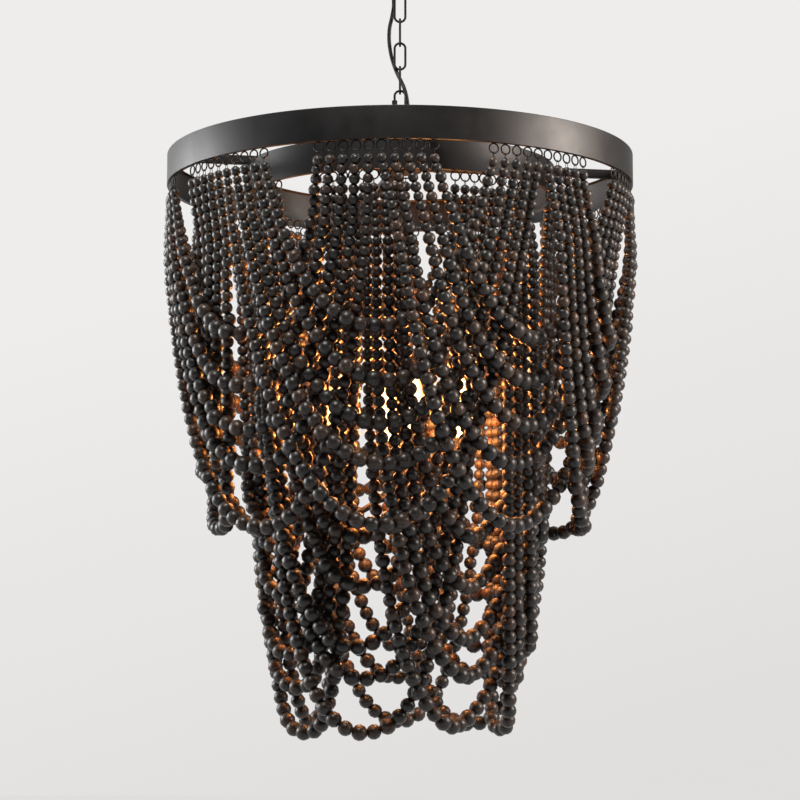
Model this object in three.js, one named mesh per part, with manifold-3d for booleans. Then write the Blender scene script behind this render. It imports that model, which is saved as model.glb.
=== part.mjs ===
// Beaded chandelier: two black steel hoops on a spoked frame, hung from a ceiling canopy by a
// short chain, with four candle lamps in the middle and tiers of graduated wooden bead swags.
// Sizes are in millimetres. Z points up, and the ceiling is z = 0 at the middle of the strip
// that is screwed to it. Pieces that stand round the axis are built at the front, along -Y, and
// then turned to their place.
import * as THREE from 'three';
import Module from 'manifold-3d';
import { mergeVertices } from 'three/addons/utils/BufferGeometryUtils.js';

const wasm = await Module();
wasm.setup();

// Fits
const clearance = 0.3;
const cutOverrun = 2;
const threadPlay = 0.3;

// Ceiling strip and its screws
const stripEndGap = 10;
const stripWidth = 18;
const stripThickness = 2;
const ceilingHoleDiameter = 5;
const ceilingHoleInset = 22;
const canopyScrewInset = 8;
const canopyScrewDiameter = 4;
const screwHeadDiameter = 9;
const screwHeadHeight = 4;

// Canopy
const canopyDiameter = 120;
const canopyHeight = 23;
const canopyWall = 1.2;
const canopyFloorInset = 8;
const canopyRimHeight = 14;

// Terminal block inside the canopy
const blockLength = 26;
const blockWidth = 17;
const blockHeight = 13;
const blockPlace = 24;
const wireWayDiameter = 3.6;
const wireWayPitch = 8;
const wireWayCount = 3;

// Loop and nut at the canopy
const nippleDiameter = 10;
const nippleAboveFloor = 8;
const collarDiameter = 16;
const collarHeight = 5;
const loopWire = 4;
const loopRadius = 8.5;
const nutDiameter = 17;
const nutHeight = 4;

// Chain
const linkWire = 3;
const linkLength = 38;
const linkWidth = 17;
const plainLinkCount = 5;
const linkNutDiameter = 8;
const linkNutHeight = 9;

// Loop, cap and hub on the fixture
const capDiameter = 26;
const capHeight = 18;
const capShoulderDiameter = 18;
const stemSocketDepth = 10;
const flexHoleDepth = 14;
const hubDiameter = 60;
const hubHeight = 15;
const hubChamfer = 2;

// Flex, threaded through the chain: out of the canopy, down behind two links, through one, past
// the quick link and down into the cap
const flexDiameter = 5;
const flexRoute = [
  [-16, 6, -23.5],
  [-16, 6, -34],
  [-13.5, 6, -50],
  [-9.5, 5.8, -68],
  [-8.2, 5.6, -84],
  [-10.5, 5.4, -100],
  [-13.5, 5, -114],
  [-14.3, 5, -128],
  [-13.2, 5.2, -142],
  [-10.4, 5.6, -156],
  [-6.6, 5.4, -168],
  [-2.6, 2.4, -178.5],
  [1.4, -1.4, -187.5],
  [5.2, -4.6, -197],
  [8.2, -6.2, -208],
  [10, -4.8, -220],
  [10.8, -2.2, -230],
  [9.6, -0.4, -239],
  [8.4, 0, -248],
  [8.4, 0, -259],
];
const flexExit = flexRoute[0];
const flexEntry = flexRoute[flexRoute.length - 1];
const bushingFlangeDiameter = 12;
const bushingFlangeHeight = 2;
const bushingBodyDiameter = 8.4;

// Frame
const outerHoopRadius = 300;
const hoopGap = 100;
const capToHoopGap = 26.2;
const hoopHeight = 39;
const hoopFlange = 6;
const hoopSheet = 1.5;
const spokeHeight = 11;
const spokeWidth = 10;
const spokeCount = 4;
const firstSpokeAngle = 10.5;

// Stem, lamp hub and finial
const stemDiameter = 10;
const stemWall = 1;
const lampHubDepth = 427.6;
const lampHubDiameter = 36;
const lampHubHeight = 24;
const lampHubChamfer = 3;
const lampHubSocketDepth = 10;
const finialDiameter = 20;
const finialHeight = 26;
const finialNeckDiameter = 9;

// Candle lamps
const lampCount = 4;
const lampRadius = 79;
const armDiameter = 8;
const armDipDepth = 16;
const armLeaveDepth = 12;
const cupRiseHeight = 20;
const cupHeight = 20;
const cupDiameter = 34;
const cupFootDiameter = 14;
const cupRimThickness = 1.4;
const cupWellDepth = 4;
const sleeveDiameter = 22;
const sleeveWall = 1.2;
const sleeveRiseHeight = 48;
const holderDiameter = 18;
const holderSocketDepth = 24;
const holderTopInset = 1.5;
const bulbCapDiameter = 14;
const bulbCapLength = 20;
const bulbNeckDiameter = 15;
const bulbDiameter = 35;
const bulbGlassLength = 86;
const bulbTipDiameter = 4;

// Bead swags: each set hangs in two groups of jump rings and sags under the hoop between them
const jumpRingDiameter = 13.4;
const ringInset = 3.7;
const ringRowThickness = 1.5;
const swingGap = 0.9;
const strandTuckDepth = 2.5;
const topBeadDiameter = 11.6;
const lowBeadDiameter = 19.4;
const outerSetCount = 9;
const outerFirstAngle = 27;
const outerAngleStep = 2.9;
const outerSetAngle = -5.5;
const outerSwagDepth = 440;
const outerSagShares = [0.495, 0.62, 0.739, 0.845, 1];
const outerLayDistance = 16.5;
const innerSetCount = 7;
const innerFirstAngle = 34.6;
const innerAngleStep = 3.73;
const innerSetAngle = -14.8;
const innerSwagDepth = 678;
const innerSagShares = [0.659, 0.748, 0.851, 0.914, 1];
const innerLayDistance = 16.5;
const layTurnShare = 0.12;
const layStartDepth = 60;

// Facets round each kind of piece
const hoopSides = 60;
const innerHoopSides = 48;
const canopySides = 36;
const turnedSides = 16;
const smallSides = 12;
const wireSides = 6;
const strandSides = 4;
const strandSteps = 10;

// Finishes
const blackPaint = new THREE.MeshStandardMaterial({ color: 0x1d1c1d, roughness: 0.55, metalness: 0.2 });
const steel = new THREE.MeshStandardMaterial({ color: 0x9a9a98, roughness: 0.4, metalness: 0.9 });
const blackPlastic = new THREE.MeshStandardMaterial({ color: 0x151515, roughness: 0.6, metalness: 0 });
const creamPlastic = new THREE.MeshStandardMaterial({ color: 0xe6e1d3, roughness: 0.5, metalness: 0 });
const litGlass = new THREE.MeshStandardMaterial({ color: 0xffd49a, roughness: 0.15, metalness: 0 });
const stainedWood = new THREE.MeshStandardMaterial({ color: 0x2a2624, roughness: 0.5, metalness: 0 });

// Shape helpers

const half = (size) => size / 2;
const fullTurn = Math.PI * 2;
const front = new THREE.Vector3(0, -1, 0);

// Keeps positions only, merges shared corners, drops flat triangles and points all faces outwards.
function closedShape(geometry) {
  const bare = geometry.clone();
  bare.deleteAttribute('normal');
  bare.deleteAttribute('uv');
  const merged = mergeVertices(bare);
  const index = Array.from(merged.index.array);
  const kept = [];
  for (let i = 0; i < index.length; i += 3) {
    const [a, b, c] = index.slice(i, i + 3);
    if (a !== b && b !== c && c !== a) kept.push(a, b, c);
  }
  const at = (i) => new THREE.Vector3().fromBufferAttribute(merged.getAttribute('position'), i);
  let volume = 0;
  for (let i = 0; i < kept.length; i += 3) {
    volume += at(kept[i]).dot(at(kept[i + 1]).cross(at(kept[i + 2])));
  }
  if (volume < 0) kept.reverse();
  merged.setIndex(kept);
  return merged;
}

function toSolid(geometry) {
  const shape = closedShape(geometry);
  const vertProperties = new Float32Array(shape.getAttribute('position').array);
  const triVerts = new Uint32Array(shape.index.array);
  return new wasm.Manifold(new wasm.Mesh({ numProp: 3, vertProperties, triVerts }));
}

function fromSolid(solid) {
  const mesh = solid.getMesh();
  const geometry = new THREE.BufferGeometry();
  geometry.setAttribute('position', new THREE.BufferAttribute(new Float32Array(mesh.vertProperties), 3));
  geometry.setIndex(new THREE.BufferAttribute(new Uint32Array(mesh.triVerts), 1));
  return geometry;
}

function joined(geometries) {
  return fromSolid(geometries.map(toSolid).reduce((whole, solid) => whole.add(solid)));
}

function cut(geometry, cutters) {
  return fromSolid(cutters.map(toSolid).reduce((whole, solid) => whole.subtract(solid), toSolid(geometry)));
}

// A profile of [radius, height] points turned round Z, with the points going up the outside.
function turned(points, sides) {
  const profile = points.map(([radius, height]) => new THREE.Vector2(radius, height));
  return new THREE.LatheGeometry(profile, sides).rotateX(half(Math.PI));
}

// A turned ring, whose profile closes on itself.
function turnedRing(points, sides) {
  return turned([...points, points[0]], sides);
}

function upright(diameter, bottom, top, sides) {
  return turned([[0, bottom], [half(diameter), bottom], [half(diameter), top], [0, top]], sides);
}

// A plain tube, whose bore is measured across the flats of its facets.
function tubeRing(bore, diameter, bottom, top, sides) {
  const outside = half(diameter);
  const inside = half(bore) / Math.cos(half(fullTurn) / sides);
  return turnedRing([[outside, bottom], [outside, top], [inside, top], [inside, bottom]], sides);
}

function block(width, depth, bottom, top) {
  return new THREE.BoxGeometry(width, depth, top - bottom).translate(0, 0, half(top + bottom));
}

// A tube of even section along a curve.
function tubeAlong(curve, diameter, sides, steps) {
  const section = new THREE.Shape();
  for (let i = 0; i < sides; i += 1) {
    const angle = (fullTurn * i) / sides;
    const x = half(diameter) * Math.cos(angle);
    const y = half(diameter) * Math.sin(angle);
    if (i === 0) section.moveTo(x, y);
    else section.lineTo(x, y);
  }
  return new THREE.ExtrudeGeometry(section, { extrudePath: curve, steps, bevelEnabled: false });
}

// A wire loop standing in the XZ plane, stretched upright by the length of its straight legs.
function wireLoop(radius, wire, straight, centre, steps) {
  const loop = new THREE.TorusGeometry(radius, half(wire), wireSides, steps);
  loop.rotateZ(half(fullTurn) / steps).rotateX(half(Math.PI));
  const position = loop.getAttribute('position');
  for (let i = 0; i < position.count; i += 1) {
    const z = position.getZ(i);
    position.setZ(i, centre + z + half(straight) * Math.sign(z));
  }
  return loop;
}

const chandelier = new THREE.Group();

function add(name, geometry, material, parent = chandelier) {
  const shape = closedShape(geometry);
  shape.computeVertexNormals();
  const mesh = new THREE.Mesh(shape, material);
  mesh.name = name;
  parent.add(mesh);
  return mesh;
}

// A group turned about the axis, for pieces that are built at the front.
function turnedGroup(angle) {
  const group = new THREE.Group();
  group.rotation.z = angle;
  chandelier.add(group);
  return group;
}

// Canopy: strip, cup, screws, terminal block, loop, nut and bushing

const stripBottom = -stripThickness;
const canopyFloor = -canopyHeight;
const canopyInside = canopyFloor + canopyWall;
const canopyFloorDiameter = canopyDiameter - canopyFloorInset * 2;
const stripLength = canopyDiameter - stripEndGap * 2;
const ceilingHoleSpacing = stripLength - ceilingHoleInset * 2;
const canopyScrewSpacing = stripLength - canopyScrewInset * 2;
const screwPlaces = [half(canopyScrewSpacing), -half(canopyScrewSpacing)];

function mountingStrip() {
  const strip = block(stripLength, stripWidth, stripBottom, 0);
  const hole = (diameter, x) => upright(
    diameter, stripBottom - cutOverrun, cutOverrun, smallSides,
  ).translate(x, 0, 0);
  const fixings = [1, -1].map((side) => hole(ceilingHoleDiameter, side * half(ceilingHoleSpacing)));
  const tapped = screwPlaces.map((x) => hole(canopyScrewDiameter + clearance * 2, x));
  return cut(strip, [...fixings, ...tapped]);
}

function canopyCup() {
  const bore = half(nippleDiameter) + clearance;
  const rim = half(canopyDiameter);
  const floorEdge = half(canopyFloorDiameter);
  const rimFoot = -canopyRimHeight;
  const cup = turnedRing([
    [bore, canopyFloor],
    [floorEdge, canopyFloor],
    [rim, rimFoot],
    [rim, 0],
    [rim - canopyWall, 0],
    [rim - canopyWall, rimFoot],
    [floorEdge - canopyWall, canopyInside],
    [bore, canopyInside],
  ], canopySides);
  const hole = (diameter, x, y) => upright(
    diameter, canopyFloor - cutOverrun, canopyInside + cutOverrun, smallSides,
  ).translate(x, y, 0);
  const screwHoles = screwPlaces.map((x) => hole(canopyScrewDiameter + clearance * 2, x, 0));
  const flexHole = hole(bushingBodyDiameter + clearance * 2, flexExit[0], flexExit[1]);
  return cut(cup, [...screwHoles, flexHole]);
}

function canopyScrew() {
  const headTop = canopyFloor - clearance;
  const headFoot = headTop - screwHeadHeight;
  const shank = half(canopyScrewDiameter);
  return turned([
    [0, headFoot],
    [half(screwHeadDiameter) - half(screwHeadHeight), headFoot],
    [half(screwHeadDiameter), headFoot + half(screwHeadHeight)],
    [half(screwHeadDiameter), headTop],
    [shank, headTop],
    [shank, half(stripBottom)],
    [0, half(stripBottom)],
  ], smallSides);
}

function terminalBlock() {
  const top = stripBottom - clearance;
  const middle = top - half(blockHeight);
  const body = block(blockLength, blockWidth, top - blockHeight, top);
  const firstWay = -half(wireWayPitch * (wireWayCount - 1));
  const ways = [];
  for (let i = 0; i < wireWayCount; i += 1) {
    const way = upright(wireWayDiameter, -blockWidth, blockWidth, wireSides).rotateX(half(Math.PI));
    ways.push(way.translate(firstWay + wireWayPitch * i, 0, middle));
  }
  return cut(body, ways).translate(blockPlace, 0, 0);
}

const collarTop = canopyFloor - clearance;
const collarBottom = collarTop - collarHeight;
const canopyLoopCentre = collarBottom - loopRadius;
const nutBottom = canopyInside + clearance;
const loopSteps = 14;

function canopyLoop() {
  const stem = turned([
    [0, collarBottom - half(loopWire)],
    [half(loopWire), collarBottom - half(loopWire)],
    [half(collarDiameter), collarBottom + half(loopWire)],
    [half(collarDiameter), collarTop],
    [half(nippleDiameter), collarTop],
    [half(nippleDiameter), canopyInside + nippleAboveFloor],
    [0, canopyInside + nippleAboveFloor],
  ], turnedSides);
  return joined([stem, wireLoop(loopRadius, loopWire, 0, canopyLoopCentre, loopSteps)]);
}

add('mounting_strip', mountingStrip(), steel);
add('canopy_cup', canopyCup(), blackPaint);
screwPlaces.forEach((x, i) => add(`canopy_screw_${i + 1}`, canopyScrew().translate(x, 0, 0), blackPaint));
add('terminal_block', terminalBlock(), creamPlastic);
add('canopy_loop', canopyLoop(), blackPaint);
add('loop_nut', tubeRing(
  nippleDiameter + threadPlay * 2, nutDiameter, nutBottom, nutBottom + nutHeight, wireSides,
), steel);
add('flex_bushing', turnedRing([
  [half(flexDiameter) + clearance, canopyFloor - clearance - bushingFlangeHeight],
  [half(bushingFlangeDiameter), canopyFloor - clearance - bushingFlangeHeight],
  [half(bushingFlangeDiameter), canopyFloor - clearance],
  [half(bushingBodyDiameter), canopyFloor - clearance],
  [half(bushingBodyDiameter), canopyInside + bushingFlangeHeight],
  [half(flexDiameter) + clearance, canopyInside + bushingFlangeHeight],
], smallSides).translate(flexExit[0], flexExit[1], 0), blackPlastic);

// Chain: five plain links and a quick link, each standing square to the one it hangs on

const linkRadius = half(linkWidth - linkWire);
const linkStraight = linkLength - linkWidth;
const linkReach = half(linkLength - linkWire);
const linkSteps = 12;
let hangingWire = loopWire;
let hangingPoint = canopyLoopCentre - loopRadius;
const linkCentres = [];
for (let i = 0; i <= plainLinkCount; i += 1) {
  const topWire = hangingPoint + half(hangingWire + linkWire) + clearance;
  const centre = topWire - linkReach;
  const edgeOn = i % 2 === 0;
  const link = wireLoop(linkRadius, linkWire, linkStraight, centre, linkSteps);
  if (edgeOn) link.rotateZ(half(Math.PI));
  add(i < plainLinkCount ? `chain_link_${i + 1}` : 'quick_link', link, blackPaint);
  linkCentres.push(centre);
  hangingWire = linkWire;
  hangingPoint = centre - linkReach;
}
const quickLinkCentre = linkCentres[plainLinkCount];
add('quick_link_nut', tubeRing(
  linkWire + clearance * 2, linkNutDiameter, quickLinkCentre - half(linkNutHeight),
  quickLinkCentre + half(linkNutHeight), wireSides,
).translate(-linkRadius, 0, 0), blackPaint);

// Top loop with the cap that holds the stem, and the hub

const topLoopCentre = hangingPoint + half(hangingWire + loopWire) + clearance - loopRadius;
const capTop = topLoopCentre - loopRadius;
const capBottom = capTop - capHeight;
const capNeckTop = capTop + half(loopWire);

function topLoop() {
  const cap = turned([
    [0, capBottom],
    [half(capDiameter), capBottom],
    [half(capDiameter), capTop - half(capHeight)],
    [half(capShoulderDiameter) + loopWire, capTop],
    [half(loopWire), capNeckTop],
    [0, capNeckTop],
  ], turnedSides);
  const ring = wireLoop(loopRadius, loopWire, 0, topLoopCentre, loopSteps).rotateZ(half(Math.PI));
  const socket = upright(
    stemDiameter + clearance * 2, capBottom - cutOverrun, capBottom + stemSocketDepth, turnedSides,
  );
  const flexHole = upright(
    flexDiameter + clearance * 2, capNeckTop - flexHoleDepth, capNeckTop + cutOverrun, smallSides,
  ).translate(flexEntry[0], flexEntry[1], 0);
  return cut(joined([cap, ring]), [socket, flexHole]);
}

const innerHoopRadius = outerHoopRadius - hoopGap;
const outerHoopTop = capBottom - capToHoopGap;
const spokeTop = outerHoopTop - hoopSheet - clearance;
const spokeBottom = spokeTop - spokeHeight;
const innerHoopTop = spokeBottom - clearance;
const hubMiddle = half(spokeTop + spokeBottom);
const hubTop = hubMiddle + half(hubHeight);
const hubBottom = hubMiddle - half(hubHeight);
const hubBore = half(stemDiameter) + clearance;

add('top_loop', topLoop(), blackPaint);
add('hub', turnedRing([
  [hubBore, hubBottom],
  [half(hubDiameter) - hubChamfer, hubBottom],
  [half(hubDiameter), hubBottom + hubChamfer],
  [half(hubDiameter), hubTop - hubChamfer],
  [half(hubDiameter) - hubChamfer, hubTop],
  [hubBore, hubTop],
], turnedSides), blackPaint);

// Flex

const flexSteps = 26;
const flexSides = 8;
const flexCurve = new THREE.CatmullRomCurve3(flexRoute.map((point) => new THREE.Vector3(...point)));
add('flex_cord', tubeAlong(flexCurve, flexDiameter, flexSides, flexSteps), blackPlastic);

// Hoops and spokes

function hoopBand(radius, top, sides) {
  const bottom = top - hoopHeight;
  const wall = radius - hoopSheet;
  const lip = radius - hoopFlange;
  return turnedRing([
    [radius, bottom],
    [radius, top],
    [lip, top],
    [lip, top - hoopSheet],
    [wall, top - hoopSheet],
    [wall, bottom + hoopSheet],
    [lip, bottom + hoopSheet],
    [lip, bottom],
  ], sides);
}

// The spokes end under the outer hoop's top lip, and the inner hoop hangs against their undersides.
add('outer_hoop', hoopBand(outerHoopRadius, outerHoopTop, hoopSides), blackPaint);
add('inner_hoop', hoopBand(innerHoopRadius, innerHoopTop, innerHoopSides), blackPaint);
const firstSpokeTurn = THREE.MathUtils.degToRad(firstSpokeAngle);
for (let i = 0; i < spokeCount; i += 1) {
  const start = half(hubDiameter) + clearance;
  const end = (outerHoopRadius - hoopSheet) * Math.cos(half(fullTurn) / hoopSides) - clearance;
  const spoke = block(spokeWidth, end - start, spokeBottom, spokeTop).translate(0, -half(start + end), 0);
  add(`spoke_${i + 1}`, spoke, blackPaint, turnedGroup(firstSpokeTurn + (fullTurn * i) / spokeCount));
}

// Stem, lamp hub and finial

const lampHubTop = outerHoopTop - lampHubDepth;
const lampHubBottom = lampHubTop - lampHubHeight;
const stemTop = capBottom + stemSocketDepth - clearance;
const stemFoot = lampHubTop - lampHubSocketDepth + clearance;
const finialTop = lampHubBottom - clearance;
const finialFoot = finialTop - finialHeight;
const finialBall = half(finialDiameter);

function finial() {
  const ballSteps = 6;
  const centre = finialFoot + finialBall;
  const points = [];
  for (let i = 0; i < ballSteps; i += 1) {
    const angle = half(-Math.PI) + (Math.PI * i) / ballSteps;
    points.push([Math.max(0, finialBall * Math.cos(angle)), centre + finialBall * Math.sin(angle)]);
  }
  points[0][0] = 0;
  points.push([half(finialNeckDiameter), centre + finialBall]);
  points.push([half(finialNeckDiameter), finialTop]);
  points.push([0, finialTop]);
  return turned(points, smallSides);
}

add('stem_tube', tubeRing(
  stemDiameter - stemWall * 2, stemDiameter, stemFoot, stemTop, smallSides,
), blackPaint);
add('lamp_hub', cut(turned([
  [0, lampHubBottom],
  [half(lampHubDiameter) - lampHubChamfer, lampHubBottom],
  [half(lampHubDiameter), lampHubBottom + lampHubChamfer],
  [half(lampHubDiameter), lampHubTop - lampHubChamfer],
  [half(lampHubDiameter) - lampHubChamfer, lampHubTop],
  [0, lampHubTop],
], turnedSides), [
  upright(
    stemDiameter + clearance * 2, lampHubTop - lampHubSocketDepth, lampHubTop + cutOverrun, smallSides,
  ),
]), blackPaint);
add('finial', finial(), blackPaint);

// Candle lamps: arm with its cup, holder, sleeve and bulb, all on the lamp's own upright axis. Each
// lamp is under a spoke.

const cupTop = lampHubTop + cupRiseHeight;
const cupFoot = cupTop - cupHeight;
const cupWell = cupTop - cupWellDepth;
const sleeveTop = cupTop + sleeveRiseHeight;
const sleeveFoot = cupWell + clearance;
const holderTop = sleeveTop - holderTopInset;
const bulbCapFoot = holderTop - bulbCapLength;
const armStart = half(lampHubDiameter) + clearance;
const armLeave = lampHubTop - armLeaveDepth;
const armSteps = 10;
const armRunShares = [0, 0.1, 0.3, 0.55, 0.8, 0.95, 1];
const armDipShares = [0, 0, 0.45, 0.95, 0.95, 0.4, 0];

// The arm leaves the hub level, dips in a curve and rises into the foot of its cup.
function lampArm() {
  const reach = lampRadius - armStart;
  const route = armRunShares.map((share, i) => new THREE.Vector3(
    0, -(armStart + reach * share), armLeave - armDipDepth * armDipShares[i],
  ));
  route[route.length - 1].z = cupFoot + half(armDiameter);
  const arm = tubeAlong(new THREE.CatmullRomCurve3(route), armDiameter, wireSides, armSteps);
  const cup = turned([
    [0, cupFoot],
    [half(cupFootDiameter), cupFoot],
    [half(cupDiameter), cupTop - cupRimThickness],
    [half(cupDiameter), cupTop],
    [half(sleeveDiameter) + clearance, cupTop],
    [half(sleeveDiameter) + clearance, cupWell],
    [0, cupWell],
  ], smallSides).translate(0, -lampRadius, 0);
  return joined([arm, cup]);
}

function lampHolder() {
  const socket = half(bulbCapDiameter) + clearance;
  const side = half(holderDiameter);
  return turned([
    [0, sleeveFoot],
    [side, sleeveFoot],
    [side, holderTop],
    [socket, holderTop],
    [socket, holderTop - holderSocketDepth],
    [0, holderTop - holderSocketDepth],
  ], smallSides);
}

const bulbWidthShares = [0.6, 0.88, 1, 0.93, 0.72, 0.4];
const bulbRiseShares = [0.1, 0.22, 0.36, 0.52, 0.7, 0.88];

function bulb() {
  const glassFoot = holderTop + clearance;
  const points = [
    [0, bulbCapFoot],
    [half(bulbCapDiameter), bulbCapFoot],
    [half(bulbCapDiameter), glassFoot],
    [half(bulbNeckDiameter), glassFoot],
  ];
  bulbWidthShares.forEach((width, i) => {
    points.push([half(bulbDiameter) * width, glassFoot + bulbGlassLength * bulbRiseShares[i]]);
  });
  points.push([half(bulbTipDiameter), glassFoot + bulbGlassLength]);
  points.push([0, glassFoot + bulbGlassLength]);
  return turned(points, smallSides);
}

for (let i = 0; i < lampCount; i += 1) {
  const lamp = turnedGroup(firstSpokeTurn + (fullTurn * i) / lampCount);
  const number = i + 1;
  add(`lamp_arm_${number}`, lampArm(), blackPaint, lamp);
  const onAxis = new THREE.Group();
  onAxis.position.y = -lampRadius;
  lamp.add(onAxis);
  add(`lamp_holder_${number}`, lampHolder(), creamPlastic, onAxis);
  add(`candle_sleeve_${number}`, tubeRing(
    sleeveDiameter - sleeveWall * 2, sleeveDiameter, sleeveFoot, sleeveTop, smallSides,
  ), blackPaint, onAxis);
  add(`bulb_${number}`, bulb(), litGlass, onAxis);
}

// Bead swags

// Finds x where (cosh x - 1) / x equals the sag over the half span, by halving an interval.
function catenaryShape(ratio) {
  const halvings = 60;
  let low = 0;
  let high = ratio + Math.PI * 2;
  for (let i = 0; i < halvings; i += 1) {
    const middle = half(low + high);
    if ((Math.cosh(middle) - 1) / middle > ratio) high = middle;
    else low = middle;
  }
  return half(low + high);
}

// One hanging strand: a catenary between two jump rings in the upright plane through them.
// Its left half lies in front of the next set and its right half behind the one before.
class SwagCurve extends THREE.Curve {
  constructor(ringRadius, halfAngle, top, sag, layOver) {
    super();
    this.halfSpan = ringRadius * Math.sin(halfAngle);
    this.distance = ringRadius * Math.cos(halfAngle);
    this.top = top;
    this.sag = sag;
    this.layOver = layOver;
    this.shape = catenaryShape(sag / this.halfSpan);
  }

  getPoint(t, target = new THREE.Vector3()) {
    const scale = this.halfSpan / this.shape;
    const x = scale * Math.asinh((t * 2 - 1) * Math.sinh(this.shape));
    const rise = scale * (Math.cosh(x / scale) - 1);
    const depth = this.sag - rise;
    const turn = Math.tanh(x / (this.halfSpan * layTurnShare));
    const lay = this.layOver * turn * Math.min(1, depth / layStartDepth);
    return target.set(x, lay - this.distance, this.top - depth);
  }
}

// A strand as a turned bar, thickening from its ends to its middle, bent along its curve.
// Its steps stand closest together round the bend at the bottom.
function strand(curve) {
  const points = [[0, 0]];
  for (let i = 0; i <= strandSteps; i += 1) {
    const side = (i / strandSteps) * 2 - 1;
    const share = half(1 + side * Math.abs(side));
    const depthShare = (curve.top - curve.getPoint(share).z) / curve.sag;
    points.push([half(topBeadDiameter + (lowBeadDiameter - topBeadDiameter) * depthShare), share]);
  }
  points.push([0, 1]);
  const profile = points.map(([radius, share]) => new THREE.Vector2(radius, share));
  const bar = new THREE.LatheGeometry(profile, strandSides, half(half(Math.PI)));
  const position = bar.getAttribute('position');
  for (let i = 0; i < position.count; i += 1) {
    const share = position.getY(i);
    const along = curve.getTangent(share);
    const across = new THREE.Vector3().crossVectors(along, front).normalize();
    const outwards = new THREE.Vector3().crossVectors(across, along);
    const point = curve.getPoint(share);
    point.addScaledVector(across, position.getX(i)).addScaledVector(outwards, position.getZ(i));
    position.setXYZ(i, point.x, point.y, point.z);
  }
  return bar;
}

// The five rings that hold one end of a set, drawn as one flat strip where they hang side by side.
function ringRow(ringRadius, angles, hoopBottom) {
  const middle = half(angles[0] + angles[angles.length - 1]);
  const spread = Math.abs(angles[angles.length - 1] - angles[0]);
  const width = ringRadius * Math.sin(half(spread)) * 2 + topBeadDiameter;
  const top = hoopBottom - swingGap;
  const foot = hoopBottom - jumpRingDiameter - strandTuckDepth;
  return block(width, ringRowThickness, foot, top).translate(0, -ringRadius, 0).rotateZ(middle);
}

function swagSet(hoopRadius, hoopBottom, firstAngle, angleStep, depth, sagShares, layOver) {
  const ringRadius = hoopRadius - ringInset;
  const top = hoopBottom - jumpRingDiameter;
  const angles = sagShares.map((_, k) => THREE.MathUtils.degToRad(firstAngle + angleStep * k));
  const strands = sagShares.map((share, k) => strand(
    new SwagCurve(ringRadius, angles[k], top, depth * share - jumpRingDiameter, layOver),
  ));
  const rows = [angles, angles.map((angle) => -angle)].map((ends) => ringRow(ringRadius, ends, hoopBottom));
  return joined([...rows, ...strands]);
}

function addTier(name, count, turn, geometry) {
  for (let i = 0; i < count; i += 1) {
    const angle = THREE.MathUtils.degToRad(turn) + (fullTurn * i) / count;
    add(`${name}_${i + 1}`, geometry, stainedWood, turnedGroup(angle));
  }
}

addTier('outer_swag_set', outerSetCount, outerSetAngle, swagSet(
  outerHoopRadius, outerHoopTop - hoopHeight, outerFirstAngle, outerAngleStep,
  outerSwagDepth, outerSagShares, outerLayDistance,
));
addTier('inner_swag_set', innerSetCount, innerSetAngle, swagSet(
  innerHoopRadius, innerHoopTop - hoopHeight, innerFirstAngle, innerAngleStep,
  innerSwagDepth, innerSagShares, innerLayDistance,
));

export default chandelier;
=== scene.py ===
"""Beaded chandelier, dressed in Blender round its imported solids.

Lengths are in metres, Z is up, and the ceiling is z = 0 over the middle of the canopy. The file
starts with the flex, which runs all the way down, and then follows the lamp from the ceiling:
canopy, chain, frame, candle lamps, bead swags. The studio comes last.
"""
import math

import bpy
import numpy as np
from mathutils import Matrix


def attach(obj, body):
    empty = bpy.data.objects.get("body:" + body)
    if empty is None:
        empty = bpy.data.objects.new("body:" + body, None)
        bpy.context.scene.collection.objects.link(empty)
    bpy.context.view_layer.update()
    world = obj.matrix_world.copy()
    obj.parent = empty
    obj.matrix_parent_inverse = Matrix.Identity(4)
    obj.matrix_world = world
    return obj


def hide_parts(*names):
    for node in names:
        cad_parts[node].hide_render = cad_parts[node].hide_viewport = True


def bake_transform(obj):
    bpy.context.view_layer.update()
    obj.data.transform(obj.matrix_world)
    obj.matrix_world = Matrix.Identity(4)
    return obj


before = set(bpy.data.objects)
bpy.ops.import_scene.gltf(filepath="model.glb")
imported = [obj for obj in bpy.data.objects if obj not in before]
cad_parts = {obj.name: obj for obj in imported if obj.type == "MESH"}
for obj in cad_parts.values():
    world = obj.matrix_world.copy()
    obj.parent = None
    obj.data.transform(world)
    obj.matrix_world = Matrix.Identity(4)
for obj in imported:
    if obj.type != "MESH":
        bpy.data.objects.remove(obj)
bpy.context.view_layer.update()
MM = 0.001

# Camera. It stands 2.5 m in front of the chandelier, a little lower than the lamps, and looks up
# into the hoops.
CAMERA_LENS = 88.87
CAMERA_PLACE = (0.0, -2.5219, -0.8442)
CAMERA_TILT = 5.435
camera_data = bpy.data.cameras.new("camera")
camera_data.sensor_width = 36.0
camera_data.lens = CAMERA_LENS
camera = bpy.data.objects.new("camera", camera_data)
camera.location = CAMERA_PLACE
camera.rotation_euler = (math.radians(90 + CAMERA_TILT), 0.0, 0.0)
bpy.context.scene.collection.objects.link(camera)
bpy.context.scene.camera = camera


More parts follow.
